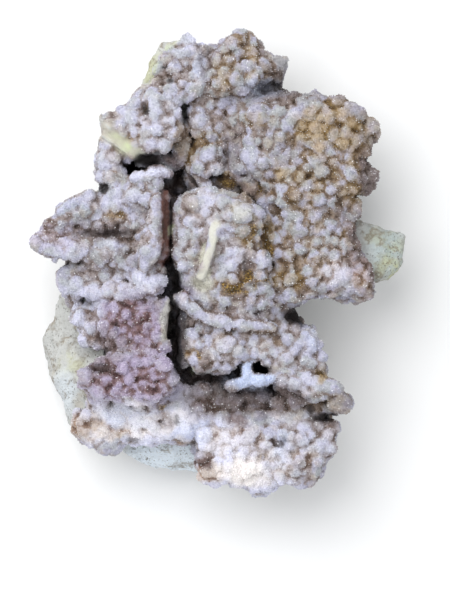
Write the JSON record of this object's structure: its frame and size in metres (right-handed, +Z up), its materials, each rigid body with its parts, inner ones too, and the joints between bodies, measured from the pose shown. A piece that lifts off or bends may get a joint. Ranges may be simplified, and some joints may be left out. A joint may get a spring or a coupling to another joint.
{
  "type": "quartz cluster",
  "caption": "Druzy quartz cluster with rounded lilac-white lumps, tan hollows and an amethyst-tinted lobe, grown on pale host rock and resting on its flat back.",
  "frame": {"origin": "centre of the bounding box's base, on the plane that the cluster rests on", "axes": "+Z up, away from the flat back of the rock; +Y along the cluster's longest side, towards its two northern crags; +X across it"},
  "size_m": [0.1262, 0.158, 0.0577],
  "materials": {
    "rock": "matt pale grey-green host rock with yellow-green bloom",
    "quartz": "sugary translucent lilac-white quartz, tan to brown in its hollows"
  },
  "bodies": {
    "root": {"host_rock": "rock", "quartz_crust": "quartz"}
  },
  "joints": []
}
